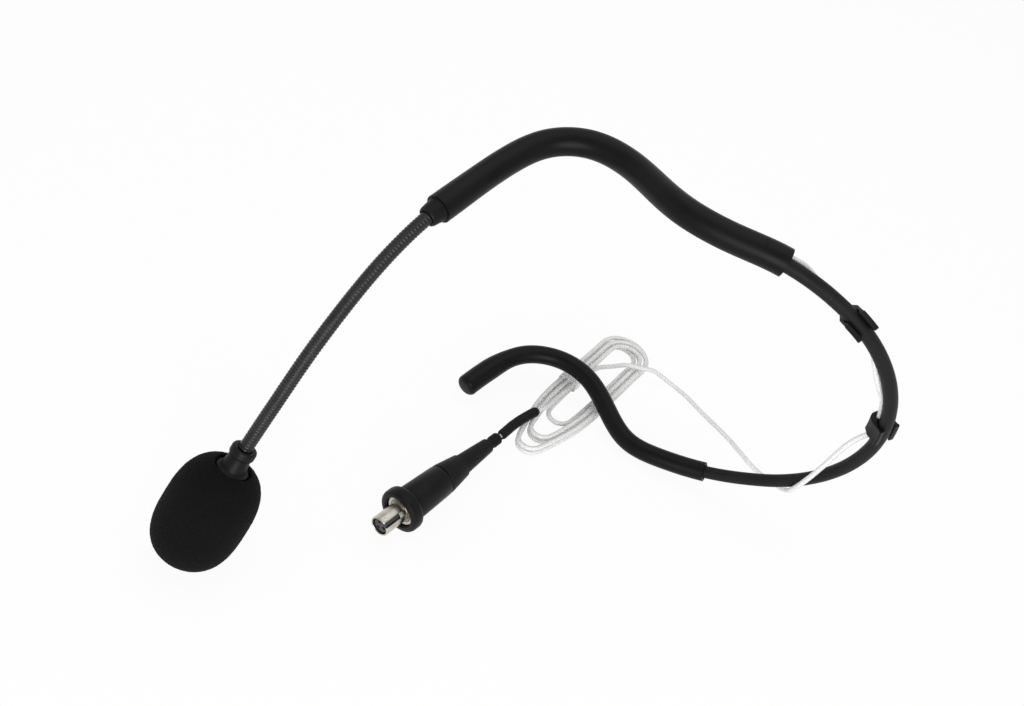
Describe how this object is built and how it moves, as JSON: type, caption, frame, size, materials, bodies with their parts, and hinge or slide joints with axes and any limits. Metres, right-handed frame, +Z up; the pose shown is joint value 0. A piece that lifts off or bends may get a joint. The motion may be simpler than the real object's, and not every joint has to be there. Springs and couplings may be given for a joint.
{
  "type": "headset microphone",
  "caption": "Behind-the-neck headset microphone: springy neckband, sleeved ear hooks, gooseneck boom with foam windscreen, clear coiled cable and screw-ring plug.",
  "frame": {"origin": "bottom centre of the headset's box as it lies on the table, without the free cable, coil and plug", "axes": "X along the headset from windscreen to nape, Z up from the table, Y away from the viewer"},
  "size_m": [0.2361, 0.1845, 0.1382],
  "materials": {
    "band_plastic": "satin dark grey tube",
    "sleeve_rubber": "smooth satin black",
    "spring_steel": "drawn wire",
    "black_plastic": "moulded satin black",
    "black_rubber": "matt black",
    "gooseneck_black": "black plated wire",
    "capsule_metal": "plain",
    "foam_black": "open-cell foam, matt black",
    "cable_clear": "clear jacket over pale screen",
    "tie_clear": "clear wrap",
    "nickel": "satin nickel",
    "insert_grey": "moulded dark grey",
    "contact_brass": "gold plated"
  },
  "bodies": {
    "plain_arm": {"neckband_right": "band_plastic", "neckband_flex": "band_plastic", "core_wire_right": "spring_steel", "core_wire_flex": "spring_steel", "ear_sleeve_right": "sleeve_rubber", "hook_tip_right": "sleeve_rubber", "cable_flex": "cable_clear", "cable_lead": "cable_clear", "cable_coil": "cable_clear", "cable_tail": "cable_clear", "coil_tie": "tie_clear", "heat_shrink": "black_rubber", "plug_boot": "black_rubber", "plug_back": "black_plastic", "plug_shell": "nickel", "plug_insert": "insert_grey", "plug_contact_1": "contact_brass", "plug_contact_2": "contact_brass", "plug_contact_3": "contact_brass"},
    "boom_arm": {"neckband_left": "band_plastic", "core_wire_left": "spring_steel", "ear_sleeve_left": "sleeve_rubber", "boom_socket": "black_plastic", "cable_left": "cable_clear"},
    "boom_rear": {"gooseneck_core_rear": "black_rubber", "gooseneck_spring_rear": "gooseneck_black"},
    "boom_front": {"gooseneck_core_front": "black_rubber", "gooseneck_spring_front": "gooseneck_black", "capsule_collar": "black_plastic", "capsule_housing": "capsule_metal", "capsule_element": "capsule_metal", "capsule_gasket": "black_rubber", "capsule_grille": "capsule_metal"},
    "windscreen": {"windscreen": "foam_black"},
    "clip_left": {"clip_left": "black_plastic"},
    "clip_nape": {"clip_nape": "black_plastic"},
    "coupling": {"coupling_ring": "black_plastic", "coupling_thread": "nickel"}
  },
  "joints": [
    {"name": "band_flex", "type": "hinge", "parent": "plain_arm", "child": "boom_arm", "pos_m": [0.10393, 0.00443, 0.09898], "axis": [0.2109, 0.9516, 0.2236], "range_deg": [-10, 30], "stiffness_Nm_per_rad": 0.9, "deforming": ["neckband_flex", "core_wire_flex", "cable_flex"]},
    {"name": "boom_swing", "type": "hinge", "parent": "boom_arm", "child": "boom_rear", "pos_m": [-0.05489, 0.00488, 0.11413], "axis": [0.1018, 0.2061, -0.9732], "range_deg": [-35, 40], "deforming": ["gooseneck_core_rear", "gooseneck_spring_rear"]},
    {"name": "boom_bend", "type": "hinge", "parent": "boom_rear", "child": "boom_front", "pos_m": [-0.07576, -0.02874, 0.08505], "axis": [0.8436, -0.5364, -0.0254], "range_deg": [-35, 35], "deforming": ["gooseneck_core_front", "gooseneck_spring_front"]},
    {"name": "windscreen_pull", "type": "slide", "parent": "boom_front", "child": "windscreen", "axis": [-0.3163, -0.3534, -0.8804], "range_m": [0, 0.03]},
    {"name": "clip_left_slide", "type": "hinge", "parent": "boom_arm", "child": "clip_left", "pos_m": [0.05248, 0.02274, 0.06953], "axis": [0.2109, 0.9516, 0.2236], "range_deg": [-4, 4]},
    {"name": "clip_nape_slide", "type": "hinge", "parent": "plain_arm", "child": "clip_nape", "pos_m": [0.05248, 0.02274, 0.06953], "axis": [0.2109, 0.9516, 0.2236], "range_deg": [-5, 0]},
    {"name": "coupling_turn", "type": "hinge", "parent": "plain_arm", "child": "coupling", "pos_m": [-0.04662, -0.03739, 0.0088], "axis": [0.4879, 0.8729, 0], "continuous": true}
  ]
}
